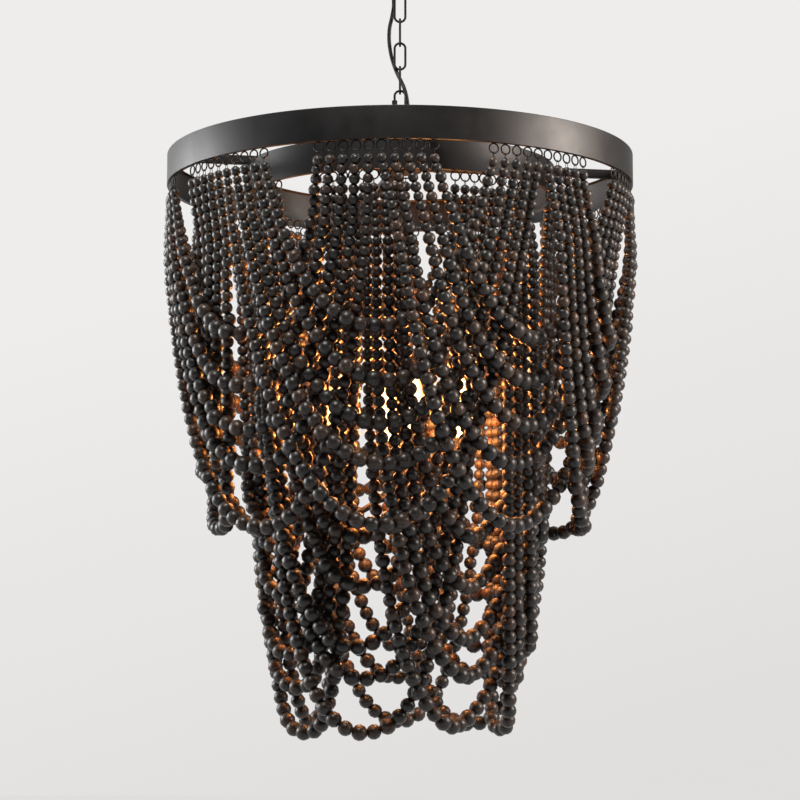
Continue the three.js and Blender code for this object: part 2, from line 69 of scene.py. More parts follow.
# Flex. Black round PVC cable, 5 mm across. It leaves the canopy, hangs beside the chain, goes
# through one link and ends in the cap of the top loop. The chain holds it all the way.
FLEX_DIAMETER = 5 * MM
SPAN_STEPS = 8
ROUND_SIDES = 16
FLEX_ROUTE = MM * np.array([
    (-16, 6, -20), (-16, 6, -34), (-13.5, 6, -50), (-9.5, 5.8, -68), (-8.2, 5.6, -84),
    (-10.5, 5.4, -100), (-13.5, 5, -114), (-14.3, 5, -128), (-13.2, 5.2, -142),
    (-10.4, 5.6, -156), (-6.6, 5.4, -168), (-2.6, 2.4, -178.5), (1.4, -1.4, -187.5),
    (5.2, -4.6, -197), (8.2, -6.2, -208), (10, -4.8, -220), (10.8, -2.2, -230),
    (9.6, -0.4, -239), (8.4, 0, -248), (8.4, 0, -257),
])
SPLIT_STRETCH = 3
LINK_JOINTS = MM * np.array([-45.3, -76.5, -108.2, -139.9, -171.6, -203.3, -235.0])
CHAIN_BODIES = ["canopy", "chain_link_1", "chain_link_2", "chain_link_3", "chain_link_4",
                "chain_link_5", "quick_link", "fixture"]


def colour(text):
    """A colour written as sRGB hex, each channel turned to linear by the sRGB curve."""
    channels = np.array([int(text[i:i + 2], 16) for i in (1, 3, 5)]) / 255
    low = channels / 12.92
    high = ((channels + 0.055) / 1.055) ** 2.4
    return (*np.where(channels <= 0.04045, low, high), 1.0)


def add(tree, kind, inputs=(), **settings):
    """Adds one shader node, sets its settings, and fills or links its named inputs."""
    node = tree.nodes.new("ShaderNode" + kind)
    for key, value in settings.items():
        setattr(node, key, value)
    for key, value in dict(inputs).items():
        if isinstance(value, bpy.types.NodeSocket):
            tree.links.new(value, node.inputs[key])
        else:
            node.inputs[key].default_value = value
    return node


def finish_tree(name):
    """An empty node tree in a new material, to be filled for one finish."""
    material = bpy.data.materials.new(name)
    material.use_nodes = True
    material.node_tree.nodes.clear()
    return material, material.node_tree


def ramp(node, stops):
    """Sets the stops of a colour ramp from pairs of place and hex colour."""
    elements = node.color_ramp.elements
    while len(elements) < len(stops):
        elements.new(0.5)
    for element, (place, text) in zip(elements, stops):
        element.position = place
        element.color = colour(text)


def smooth_route(points, steps):
    """A smooth curve through the points, each span cut into equal steps. The knots lie apart by
    the square root of the distance between points, and every span mixes its four neighbouring
    points in pairs, then the mixes in pairs, and then those two."""
    ends = np.vstack([2 * points[0] - points[1], points, 2 * points[-1] - points[-2]])
    gaps = np.sqrt(np.linalg.norm(np.diff(ends, axis=0), axis=1))
    knots = np.concatenate([[0], np.cumsum(gaps)])
    p = [ends[i:len(ends) - 3 + i][:, None] for i in range(4)]
    k = [knots[i:len(knots) - 3 + i][:, None, None] for i in range(4)]
    t = k[1] + (k[2] - k[1]) * np.linspace(0, 1, steps, endpoint=False)[None, :, None]

    def mix(a, b, start, end):
        return (a * (end - t) + b * (t - start)) / (end - start)

    a1, a2, a3 = (mix(p[i], p[i + 1], k[i], k[i + 1]) for i in range(3))
    b1, b2 = mix(a1, a2, k[0], k[2]), mix(a2, a3, k[1], k[3])
    curve = mix(b1, b2, k[1], k[2]).reshape(-1, 3)
    return np.vstack([curve, points[-1]])


def closed_shape(grid, wrap_rows=False):
    """A grid of points (rows, columns, 3) whose columns close on themselves, made a shell of
    quads. Equal points are merged, so a row on the axis closes as a pole, and the faces are
    turned to point outwards by the sign of the volume. A quad that shrank to a triangle is
    turned until its last two corners are the equal ones."""
    rows, columns = grid.shape[:2]
    index = np.arange(rows * columns).reshape(rows, columns)
    if wrap_rows:
        index = np.vstack([index, index[:1]])
    across = np.roll(index, -1, axis=1)
    faces = np.stack([index[:-1], across[:-1], across[1:], index[1:]], axis=-1).reshape(-1, 4)
    points = grid.reshape(-1, 3)
    keys = np.round(points / 1e-7).astype(np.int64)
    _, first, merged = np.unique(keys, axis=0, return_index=True, return_inverse=True)
    points, faces = points[first], merged.reshape(-1)[faces]
    corner = points[faces]
    volume = np.einsum("ij,ij->", corner[:, 0], np.cross(corner[:, 1], corner[:, 2]))
    volume += np.einsum("ij,ij->", corner[:, 0], np.cross(corner[:, 2], corner[:, 3]))
    if volume < 0:
        faces = faces[:, ::-1]
    for turn in range(1, 4):
        equal = faces == np.roll(faces, -1, axis=1)
        misplaced = equal.any(axis=1) & ~equal[:, 2]
        faces = np.where(misplaced[:, None], np.roll(faces, turn, axis=1), faces)
    flat = (faces[:, 2] == faces[:, 3]) & (faces[:, 0] == faces[:, 1])
    flat |= faces[:, 0] == faces[:, 2]
    return points, faces[~flat]


def tube(path, diameter, sides, facing, closed=False):
    """A round bar along a path. At each point its section is a circle square to the path, with
    its first corner turned towards the facing direction. Open ends close on a pole."""
    if closed:
        along = np.roll(path, -1, axis=0) - np.roll(path, 1, axis=0)
    else:
        along = np.gradient(path, axis=0)
    along /= np.linalg.norm(along, axis=1, keepdims=True)
    facing = np.asarray(facing, float)
    normal = facing - along * (along @ facing)[:, None]
    normal /= np.linalg.norm(normal, axis=1, keepdims=True)
    across = np.cross(along, normal)
    radius = np.broadcast_to(np.asarray(diameter, float) / 2, len(path))
    if not closed:
        path = np.vstack([path[:1], path, path[-1:]])
        normal = np.vstack([normal[:1], normal, normal[-1:]])
        across = np.vstack([across[:1], across, across[-1:]])
        radius = np.concatenate([[0], radius, [0]])
    angle = np.linspace(0, 2 * math.pi, sides, endpoint=False)[None, :, None]
    ring = normal[:, None] * np.cos(angle) + across[:, None] * np.sin(angle)
    return closed_shape(path[:, None] + ring * radius[:, None, None], wrap_rows=closed)


def piece(name, shapes, finish, crease=35):
    """One mesh object from shapes of points and quads, where a quad that repeats its last
    corner is a triangle. Faces are smooth, except across edges sharper than the crease."""
    counts = np.cumsum([0] + [len(points) for points, _ in shapes])
    points = np.vstack([points for points, _ in shapes])
    faces = np.vstack([faces + start for (_, faces), start in zip(shapes, counts)])
    kept = np.ones(faces.shape, bool)
    kept[:, 3] = faces[:, 3] != faces[:, 2]
    mesh = bpy.data.meshes.new(name)
    mesh.vertices.add(len(points))
    mesh.vertices.foreach_set("co", points.astype(np.float32).ravel())
    mesh.loops.add(int(kept.sum()))
    mesh.loops.foreach_set("vertex_index", faces[kept].astype(np.int32))
    mesh.polygons.add(len(faces))
    starts = np.concatenate([[0], np.cumsum(kept.sum(axis=1))[:-1]])
    mesh.polygons.foreach_set("loop_start", starts.astype(np.int32))
    mesh.update(calc_edges=True)
    mesh.shade_smooth()
    if crease:
        mesh.set_sharp_from_angle(angle=math.radians(crease))
    mesh.materials.append(finish)
    thing = bpy.data.objects.new(name, mesh)
    bpy.context.scene.collection.objects.link(thing)
    return thing


def place(thing, body, slot, *nodes):
    """Lets a piece ride on its body and hides the solids it stands for. The slot is not used."""
    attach(thing, body)
    if nodes:
        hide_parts(*nodes)


# Soft PVC sheath, extruded: near black, a dull even sheen, with a faint drawn unevenness.
cable_sheath, tree = finish_tree("pvc_cable_sheath")
where = add(tree, "TexCoord").outputs["Object"]
drawn = add(tree, "TexNoise", {"Vector": where, "Scale": 260.0, "Detail": 3.0})
tone = add(tree, "ValToRGB", {"Fac": drawn.outputs["Fac"]})
ramp(tone, [(0.3, "#0c0c0c"), (0.7, "#141314")])
dent = add(tree, "Bump", {"Height": drawn.outputs["Fac"], "Strength": 0.15, "Distance": 0.1 * MM})
skin = add(tree, "BsdfPrincipled", {
    "Base Color": tone.outputs["Color"], "Roughness": 0.5, "IOR": 1.53,
    "Specular IOR Level": 0.3, "Normal": dent.outputs["Normal"]})
add(tree, "OutputMaterial", {"Surface": skin.outputs["BSDF"]})

flex_path = smooth_route(FLEX_ROUTE, SPAN_STEPS)


def flex_between(top, bottom):
    """The flex between two heights: a tube along the points of its path that lie there, and
    along one more at each end, so that neighbours lap."""
    part = np.flatnonzero((flex_path[:, 2] <= top) & (flex_path[:, 2] >= bottom))
    part = flex_path[max(part[0] - 1, 0):part[-1] + 2]
    return tube(part, FLEX_DIAMETER, ROUND_SIDES, (0, 1, 0))


# One stretch spans each joint of the chain. The fourth is two halves that meet at the joint,
# because the blend there goes astray when all the joints are at their limits.
middles = (LINK_JOINTS[:-1] + LINK_JOINTS[1:]) / 2
seams = [FLEX_ROUTE[0, 2] + MM, *middles, FLEX_ROUTE[-1, 2] - MM]
for number, joint_height in enumerate(LINK_JOINTS):
    top, bottom = seams[number], seams[number + 1]
    upper_body, lower_body = CHAIN_BODIES[number:number + 2]
    name = f"flex_stretch_{number + 1}"
    if number == SPLIT_STRETCH:
        for half, body, high, low in (("upper", upper_body, top, joint_height),
                                      ("lower", lower_body, joint_height, bottom)):
            stretch = piece(f"{name}_{half}", [flex_between(high, low)], cable_sheath)
            place(stretch, body, "cable_sheath", "flex_cord")
        continue
    stretch = piece(name, [flex_between(top, bottom)], cable_sheath)
    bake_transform(stretch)
    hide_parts("flex_cord")


# Ceiling strip and nut, hidden inside the canopy. Pressed steel with bright zinc plating: pale
# grey, with a faint spangle in its gloss. The strip is screwed to the ceiling, and the nut holds
# the canopy's loop.
zinc_plate, tree = finish_tree("zinc_plated_steel")
where = add(tree, "TexCoord").outputs["Object"]
spangle = add(tree, "TexVoronoi", {"Vector": where, "Scale": 420.0})
cloud = add(tree, "TexNoise", {"Vector": where, "Scale": 90.0, "Detail": 4.0})
tone = add(tree, "ValToRGB", {"Fac": cloud.outputs["Fac"]})
ramp(tone, [(0.3, "#8f9193"), (0.75, "#a9abab")])
gloss = add(tree, "MapRange", {"Value": spangle.outputs["Distance"], "From Max": 0.8,
                               "To Min": 0.3, "To Max": 0.5})
dent = add(tree, "Bump", {"Height": cloud.outputs["Fac"], "Strength": 0.2, "Distance": 0.05 * MM})
skin = add(tree, "BsdfPrincipled", {
    "Base Color": tone.outputs["Color"], "Metallic": 1.0, "Roughness": gloss.outputs["Result"],
    "Normal": dent.outputs["Normal"]})
add(tree, "OutputMaterial", {"Surface": skin.outputs["BSDF"]})


def refinish(node, finish):
    """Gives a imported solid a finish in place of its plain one."""
    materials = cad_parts[node].data.materials
    materials.clear()
    materials.append(finish)


refinish("mounting_strip", zinc_plate)
refinish("loop_nut", zinc_plate)


# Terminal block and lamp holders. Both are urea mouldings in cream, slightly waxy and clouded,
# as lamp fittings have it. The block joins the mains wires to the flex.
cream_urea, tree = finish_tree("cream_urea_moulding")
where = add(tree, "TexCoord").outputs["Object"]
cloud = add(tree, "TexNoise", {"Vector": where, "Scale": 160.0, "Detail": 3.0})
tone = add(tree, "ValToRGB", {"Fac": cloud.outputs["Fac"]})
ramp(tone, [(0.3, "#ddd7c6"), (0.7, "#e9e4d6")])
dent = add(tree, "Bump", {"Height": cloud.outputs["Fac"], "Strength": 0.1, "Distance": 0.05 * MM})
skin = add(tree, "BsdfPrincipled", {
    "Base Color": tone.outputs["Color"], "Roughness": 0.42, "IOR": 1.55,
    "Normal": dent.outputs["Normal"]})
add(tree, "OutputMaterial", {"Surface": skin.outputs["BSDF"]})
refinish("terminal_block", cream_urea)


# Canopy. A shallow cup spun from steel sheet and painted satin black, flat against the ceiling.
# Two screws with crossed slots hold it to the strip.
CANOPY_DIAMETER = 120 * MM
CANOPY_FLOOR_DIAMETER = 104 * MM
CANOPY_HEIGHT = 23 * MM
CANOPY_RIM = 14 * MM
SHEET = 1.2 * MM
STEM_HOLE = 5.3 * MM
SCREW_SPACING = 84 * MM
SCREW_HEAD_RADIUS = 4.5 * MM
SCREW_HEAD_TOP = -CANOPY_HEIGHT - 0.3 * MM
SCREW_HEAD_RISE = 3.2 * MM
SHANK_RADIUS, SHANK_END = 2 * MM, -1 * MM
SLOT_HALF_WIDTH, SLOT_SLOPE = 0.45 * MM, 0.2 * MM
SLOT_REACH, SLOT_END_SLOPE = 2.6 * MM, 0.5 * MM
SLOT_DEPTH = 1.1 * MM


def turned(profile, steps, centre=(0.0, 0.0)):
    """A profile of [radius, height] points turned round an upright axis: x = r cos a,
    y = r sin a."""
    angle = np.linspace(0, 2 * math.pi, steps, endpoint=False)
    radius, height = profile[:, :1], profile[:, 1:]
    grid = np.stack([centre[0] + radius * np.cos(angle), centre[1] + radius * np.sin(angle),
                     np.broadcast_to(height, (len(profile), steps))], axis=-1)
    return closed_shape(grid)


def eased(profile, radius, steps=4):
    """A profile with each inner corner rounded: the corner becomes a quadratic curve between the
    two points that lie one radius, or at most 0.45 of the side, before and after it."""
    profile = np.asarray(profile, float)
    before, after = np.roll(profile, 1, axis=0), np.roll(profile, -1, axis=0)
    reach_in = np.linalg.norm(before - profile, axis=1, keepdims=True)
    reach_out = np.linalg.norm(after - profile, axis=1, keepdims=True)
    start = profile + (before - profile) * np.minimum(radius / reach_in, 0.45)
    end = profile + (after - profile) * np.minimum(radius / reach_out, 0.45)
    t = np.linspace(0, 1, steps)[None, :, None]
    bend = (start[:, None] * (1 - t) ** 2 + profile[:, None] * 2 * t * (1 - t)
            + end[:, None] * t ** 2)
    return np.vstack([profile[:1], bend[1:-1].reshape(-1, 2), profile[-1:]])


def screw(side):
    """A screw seen from below. Its head hangs by its rise times the square root of
    1 - (0.94 r)^2, where r goes from 0 to 1, less two crossed slots with sloping walls. A plain
    shank goes up from it."""
    share = np.linspace(0, 1, 14)[:, None]
    angle = np.linspace(0, 2 * math.pi, 48, endpoint=False)[None]
    across = share * SCREW_HEAD_RADIUS
    x, y = across * np.cos(angle), across * np.sin(angle)
    from_slot = np.minimum(np.abs(x), np.abs(y))
    cut = np.clip((SLOT_HALF_WIDTH - from_slot) / SLOT_SLOPE, 0, 1)
    cut = cut * np.clip((SLOT_REACH - across) / SLOT_END_SLOPE, 0, 1)
    dome = SCREW_HEAD_TOP - SCREW_HEAD_RISE * np.sqrt(1 - (0.94 * share) ** 2) + SLOT_DEPTH * cut
    shank = np.array([(SCREW_HEAD_RADIUS, SCREW_HEAD_TOP), (SHANK_RADIUS, SCREW_HEAD_TOP),
                      (SHANK_RADIUS, SHANK_END), (0, SHANK_END)])
    radius, height = shank[:, :1], shank[:, 1:] * np.ones_like(angle)
    under = np.stack([radius * np.cos(angle), radius * np.sin(angle), height], axis=-1)
    whole = np.vstack([np.stack([x, y, dome], axis=-1), under])
    return closed_shape(whole + np.array([side * SCREW_SPACING / 2, 0, 0]))


# Satin black powder coat: fine orange peel of about 0.8 mm, drawn a little coarser so that it
# shows, and a very slight unevenness of tone.
satin_black, tree = finish_tree("satin_black_powder_coat")
where = add(tree, "TexCoord").outputs["Object"]
peel = add(tree, "TexNoise", {"Vector": where, "Scale": 700.0, "Detail": 2.0})
cloud = add(tree, "TexNoise", {"Vector": where, "Scale": 22.0, "Detail": 5.0, "Roughness": 0.6})
tone = add(tree, "ValToRGB", {"Fac": cloud.outputs["Fac"]})
ramp(tone, [(0.3, "#0a090a"), (0.7, "#111012")])
gloss = add(tree, "MapRange", {"Value": cloud.outputs["Fac"], "From Min": 0.3, "From Max": 0.7,
                               "To Min": 0.4, "To Max": 0.52})
dent = add(tree, "Bump", {"Height": peel.outputs["Fac"], "Strength": 0.2, "Distance": 0.06 * MM})
skin = add(tree, "BsdfPrincipled", {
    "Base Color": tone.outputs["Color"], "Roughness": gloss.outputs["Result"], "IOR": 1.5,
    "Normal": dent.outputs["Normal"]})
add(tree, "OutputMaterial", {"Surface": skin.outputs["BSDF"]})

rim, floor = CANOPY_DIAMETER / 2, CANOPY_FLOOR_DIAMETER / 2
cup = eased([
    (STEM_HOLE, -CANOPY_HEIGHT), (floor, -CANOPY_HEIGHT), (rim, -CANOPY_RIM), (rim, 0),
    (rim - SHEET, 0), (rim - SHEET, -CANOPY_RIM), (floor - SHEET, SHEET - CANOPY_HEIGHT),
    (STEM_HOLE, SHEET - CANOPY_HEIGHT)], 1.5 * MM)
cup = np.vstack([cup, cup[:1]])
place(piece("canopy_shell", [turned(cup, 96)], satin_black), "canopy", "black_paint", "canopy_cup")
for number, side in enumerate((1, -1)):
    place(piece(f"canopy_fixing_screw_{number + 1}", [screw(side)], satin_black, 50), "canopy",
          "black_paint", f"canopy_screw_{number + 1}")


# Canopy loop and bushing. The loop is a cast ring on a collar, whose threaded stem goes up
# through the cup. The bushing is a nylon ring that keeps the flex off the cup's edge.
LOOP_RADIUS = 8.5 * MM
LOOP_WIRE = 4 * MM
CANOPY_LOOP_CENTRE = -36.8 * MM


def link_path(radius, straight, centre, steps):
    """The middle line of an oval link, upright in the XZ plane: two half circles of the radius,
    set apart by the straight."""
    t = (np.arange(steps) + 0.5) / steps * 2 * math.pi
    x, z = radius * np.cos(t), radius * np.sin(t)
    return np.stack([x, np.zeros(steps), centre + z + np.sign(z) * straight / 2], axis=-1)


def edge_on(path):
    """The same path turned a quarter round the upright axis, into the YZ plane."""
    return path[:, [1, 0, 2]] * np.array([-1, 1, 1])


collar = eased(MM * np.array([
    (0, -30.4), (2.2, -30.4), (8, -26.3), (8, -23.3), (5, -23.3), (5, -13.8),
    (0, -13.8)]), 0.7 * MM)
ring = tube(link_path(LOOP_RADIUS, 0, CANOPY_LOOP_CENTRE, 48), LOOP_WIRE, ROUND_SIDES,
            (0, 1, 0), closed=True)
place(piece("canopy_ring", [turned(collar, 48), ring], satin_black), "canopy", "black_paint",
      "canopy_loop")

# Moulded nylon: dull black, with the fine grain of the mould.
black_nylon, tree = finish_tree("black_nylon_moulding")
where = add(tree, "TexCoord").outputs["Object"]
grain = add(tree, "TexNoise", {"Vector": where, "Scale": 900.0, "Detail": 2.0})
tone = add(tree, "ValToRGB", {"Fac": grain.outputs["Fac"]})
ramp(tone, [(0.3, "#121212"), (0.7, "#191919")])
dent = add(tree, "Bump", {"Height": grain.outputs["Fac"], "Strength": 0.2, "Distance": 0.05 * MM})
skin = add(tree, "BsdfPrincipled", {
    "Base Color": tone.outputs["Color"], "Roughness": 0.55, "IOR": 1.53,
    "Normal": dent.outputs["Normal"]})
add(tree, "OutputMaterial", {"Surface": skin.outputs["BSDF"]})
bushing = eased(MM * np.array([
    (2.8, -25.3), (6, -25.3), (6, -23.3), (4.2, -23.3), (4.2, -19.8), (2.8, -19.8)]), 0.6 * MM)
bushing = np.vstack([bushing, bushing[:1]])
place(piece("flex_grommet", [turned(bushing, 40, FLEX_ROUTE[0, :2])], black_nylon), "canopy",
      "black_plastic", "flex_bushing")


# Chain. Five oval links bent from 3 mm wire, and a quick link whose gap is closed by a screwed
# hexagonal sleeve. All are blackened steel wire, as are the beads' jump rings lower down.
LINK_WIRE = 3 * MM
LINK_RADIUS = 7 * MM
LINK_STRAIGHT = 21 * MM
LINK_CENTRES = MM * np.array([-59.0, -90.7, -122.4, -154.1, -185.8, -217.5])
NUT_HALF_HEIGHT = 4.5 * MM
NUT_BORE, NUT_RADIUS = 1.8 * MM, 4 * MM

# Blackened wire: a thin dull oxide, almost black, rubbed to a slightly browner tone in spots.
dark_wire, tree = finish_tree("blackened_steel_wire")
where = add(tree, "TexCoord").outputs["Object"]
worn = add(tree, "TexNoise", {"Vector": where, "Scale": 500.0, "Detail": 2.0})
tone = add(tree, "ValToRGB", {"Fac": worn.outputs["Fac"]})
ramp(tone, [(0.35, "#090808"), (0.75, "#131211")])
skin = add(tree, "BsdfPrincipled", {
    "Base Color": tone.outputs["Color"], "Roughness": 0.5, "IOR": 1.5, "Specular IOR Level": 0.25})
add(tree, "OutputMaterial", {"Surface": skin.outputs["BSDF"]})
for number, centre in enumerate(LINK_CENTRES):
    path, facing = link_path(LINK_RADIUS, LINK_STRAIGHT, centre, 64), (0, 1, 0)
    if number % 2 == 0:
        path, facing = edge_on(path), (1, 0, 0)
    wire = tube(path, LINK_WIRE, ROUND_SIDES, facing, closed=True)
    node = CHAIN_BODIES[number + 1]
    place(piece(f"{node}_wire", [wire], dark_wire), node, "black_paint", node)

# The sleeve is a turned ring whose outer wall is cut to a hexagon: at each angle its radius is
# scaled by the cosine of 30 degrees over the cosine of the angle from the nearest flat's middle.
sleeve = eased([(NUT_BORE, -NUT_HALF_HEIGHT), (NUT_RADIUS, -NUT_HALF_HEIGHT),
                (NUT_RADIUS, NUT_HALF_HEIGHT), (NUT_BORE, NUT_HALF_HEIGHT)], 0.5 * MM)
sleeve = np.vstack([sleeve, sleeve[:1]]) + np.array([0, LINK_CENTRES[-1]])
angle = np.linspace(0, 2 * math.pi, 48, endpoint=False)
hexagon = math.cos(math.pi / 6) / np.cos((angle + math.pi / 6) % (math.pi / 3) - math.pi / 6)
outer_wall = sleeve[:, :1] > (NUT_BORE + NUT_RADIUS) / 2
size = np.where(outer_wall, sleeve[:, :1] * hexagon, sleeve[:, :1])
nut = np.stack([size * np.cos(angle) - LINK_RADIUS, size * np.sin(angle),
                np.broadcast_to(sleeve[:, 1:], size.shape)], axis=-1)
place(piece("quick_link_sleeve", [closed_shape(nut)], dark_wire, 25), "quick_link",
      "black_paint", "quick_link_nut")


# Top loop, hub and spokes. The top loop is a ring on a turned cap that ends the stem. The hub is
# a turned boss lower down, from which four flat bars run out to the outer hoop.
TOP_LOOP_CENTRE = -239.7 * MM
CAP_BOTTOM = -266.2 * MM
CAP_BORE_DEPTH = 10 * MM
HUB_MIDDLE = -299.7 * MM
SPOKE_START, SPOKE_END = 29.6 * MM, 298.2 * MM
SPOKE_WIDTH, SPOKE_HEIGHT, SPOKE_EDGE = 10 * MM, 11 * MM, 0.9 * MM
FIRST_SPOKE_TURN = math.radians(10.5)

cap = eased(MM * np.array([
    (5.3, -266.2), (13, -266.2), (13, -257.2), (12.5, -252), (7, -248.2), (2.2, -246.4),
    (0, -246.2)]), 1.2 * MM)
bore_end = CAP_BOTTOM + CAP_BORE_DEPTH
cap = np.vstack([[(0, bore_end), (STEM_HOLE, bore_end)], cap])
ring = tube(edge_on(link_path(LOOP_RADIUS, 0, TOP_LOOP_CENTRE, 48)), LOOP_WIRE, ROUND_SIDES,
            (1, 0, 0), closed=True)
place(piece("top_loop_and_cap", [turned(cap, 64), ring], satin_black), "fixture", "black_paint",
      "top_loop")

hub = eased(MM * np.array([
    (5.3, -7.5), (28, -7.5), (30, -5.5), (30, 5.5), (28, 7.5), (5.3, 7.5)])
    + np.array([0, HUB_MIDDLE]), 0.8 * MM)
hub = np.vstack([hub, hub[:1]])
place(piece("hub_boss", [turned(hub, 96)], satin_black), "fixture", "black_paint", "hub")


def rounded_bar(width, height, edge, start, end):
    """A flat bar along -Y: a rectangle of width and height whose corners are arcs of the edge
    radius, carried from start to end and closed at both."""
    t = np.linspace(0, math.pi / 2, 5)
    quarter = np.array([(sx, sz) for sx, sz in ((1, 1), (-1, 1), (-1, -1), (1, -1))])
    turn = np.arange(4)[:, None] * math.pi / 2 + t
    x = (quarter[:, :1] * (width / 2 - edge) + edge * np.cos(turn)).ravel()
    z = (quarter[:, 1:] * (height / 2 - edge) + edge * np.sin(turn)).ravel()
    along = np.array([start, start, end, end])
    shrink = np.array([0, 1, 1, 0])[:, None]
    grid = np.stack([x * shrink, -along[:, None] * np.ones_like(x), z * shrink], axis=-1)
    return closed_shape(grid)


def turned_about(points, angle):
    """Points turned about the upright axis by the angle."""
    c, s = math.cos(angle), math.sin(angle)
    return points @ np.array([[c, s, 0], [-s, c, 0], [0, 0, 1]])


for number in range(4):
    points, faces = rounded_bar(SPOKE_WIDTH, SPOKE_HEIGHT, SPOKE_EDGE, SPOKE_START, SPOKE_END)
    turn = FIRST_SPOKE_TURN + number * math.pi / 2
    points = turned_about(points + np.array([0, 0, HUB_MIDDLE]), turn)
    place(piece(f"spoke_bar_{number + 1}", [(points, faces)], satin_black), "fixture",
          "black_paint", f"spoke_{number + 1}")


# Hoops. Two steel bands with an inward lip at the top and bottom edge, rolled to a circle and
# painted satin black. The swags hang in the lower lips.
HOOP_HEIGHT = 39 * MM
HOOP_LIP = 6 * MM
HOOP_SHEET = 1.5 * MM
OUTER_RADIUS, OUTER_TOP = 300 * MM, -292.4 * MM
INNER_RADIUS, INNER_TOP = 200 * MM, -305.5 * MM
for name, radius, top in (("outer_hoop", OUTER_RADIUS, OUTER_TOP),
                          ("inner_hoop", INNER_RADIUS, INNER_TOP)):
    bottom, wall, lip = top - HOOP_HEIGHT, radius - HOOP_SHEET, radius - HOOP_LIP
    band = eased([
        (radius, bottom), (radius, top), (lip, top), (lip, top - HOOP_SHEET),
        (wall, top - HOOP_SHEET), (wall, bottom + HOOP_SHEET), (lip, bottom + HOOP_SHEET),
        (lip, bottom)], 0.7 * MM)
    band = np.vstack([band, band[:1]])
    place(piece(f"{name}_band", [turned(band, 240)], satin_black), "fixture", "black_paint", name)


# Stem, lamp hub and finial. A thin tube runs down from the top loop and carries a turned boss
# with a ball finial, which hold the four candle lamps.
STEM_TOP, STEM_FOOT = -256.5 * MM, -729.7 * MM
STEM_BORE, STEM_RADIUS = 4 * MM, 5 * MM
BALL_RADIUS, BALL_MIDDLE = 10 * MM, -760.3 * MM
stem = np.array([(STEM_BORE, STEM_FOOT), (STEM_RADIUS, STEM_FOOT), (STEM_RADIUS, STEM_TOP),
                 (STEM_BORE, STEM_TOP), (STEM_BORE, STEM_FOOT)])
place(piece("stem_pipe", [turned(stem, 40)], satin_black), "fixture", "black_paint", "stem_tube")
boss = eased(MM * np.array([
    (0, -744), (15, -744), (18, -741), (18, -723), (15, -720), (5.3, -720), (5.3, -730),
    (0, -730)]), 1 * MM)
place(piece("lamp_boss", [turned(boss, 64)], satin_black), "fixture", "black_paint", "lamp_hub")
bow = np.linspace(-math.pi / 2, math.pi * 0.42, 24)
ball = np.stack([BALL_RADIUS * np.cos(bow), BALL_MIDDLE + BALL_RADIUS * np.sin(bow)], axis=-1)
ball[0, 0] = 0
ball = np.vstack([ball, MM * np.array([(4.5, -749.5), (4.5, -744.3), (0, -744.3)])])
place(piece("finial_ball", [turned(ball, 48)], satin_black), "fixture", "black_paint", "finial")


# Candle lamps. Each has a bent tube arm with a turned drip cup, a black sleeve round a cream
# holder, and a clear candle bulb that glows warm.
LAMP_RADIUS = 79 * MM
ARM_DIAMETER = 8 * MM
ARM_START = 18.3 * MM
ARM_HEIGHT, ARM_DIP, ARM_END_HEIGHT = -732 * MM, 16 * MM, -716 * MM
GLASS_FOOT, GLASS_LENGTH, GLASS_RADIUS = -653.2 * MM, 86 * MM, 17.5 * MM
CAP_FOOT, CAP_HEAD, CONTACT_RADIUS = -673.5 * MM, -654.5 * MM, 3.5 * MM
THREAD_RADIUS, THREAD_RISE, THREAD_PITCH = 6.6 * MM, 0.35 * MM, 3 * MM
GLOW_HEIGHT, GLOW_SIZE = -618 * MM, 12 * MM
GLOW_COLOUR = (1.0, 0.34, 0.08)
GLOW_POWER = 4.8

run = np.array([0, 0.1, 0.3, 0.55, 0.8, 0.95, 1])
dip = np.array([0, 0, 0.45, 0.95, 0.95, 0.4, 0])
arm_route = np.stack([0 * run, -(ARM_START + (LAMP_RADIUS - ARM_START) * run),
                      ARM_HEIGHT - ARM_DIP * dip], axis=-1)
arm_route[-1, 2] = ARM_END_HEIGHT
drip_cup = eased(MM * np.array([
    (0, -720), (7, -720), (12, -712), (17, -701.6), (17, -700), (15.6, -700.4), (11.3, -702.5),
    (11.3, -704), (0, -704)]), 1.2 * MM)
sleeve = eased(MM * np.array([(9.8, -703.6), (11, -703.6), (11, -652), (9.8, -652)]), 0.4 * MM)
sleeve = np.vstack([sleeve, sleeve[:1]])
holder = eased(MM * np.array([
    (0, -703.6), (9, -703.6), (9, -653.5), (7.3, -653.5), (7.3, -677.5), (0, -677.5)]), 0.3 * MM)

# Lit bulb glass: nearly white where the eye looks straight in at the filament, and amber at the
# edge, where it looks along the glass.
hot_glass, tree = finish_tree("lit_candle_glass")
rim_share = add(tree, "LayerWeight", {"Blend": 0.35})
tone = add(tree, "ValToRGB", {"Fac": rim_share.outputs["Facing"]})
ramp(tone, [(0.0, "#ffe9bd"), (0.4, "#ffc470"), (0.8, "#ff8426")])
power = add(tree, "MapRange", {"Value": rim_share.outputs["Facing"], "To Min": 3.6, "To Max": 1.3})
skin = add(tree, "BsdfPrincipled", {
    "Base Color": tone.outputs["Color"], "Roughness": 0.12, "IOR": 1.5,
    "Emission Color": tone.outputs["Color"], "Emission Strength": power.outputs["Result"]})
add(tree, "OutputMaterial", {"Surface": skin.outputs["BSDF"]})

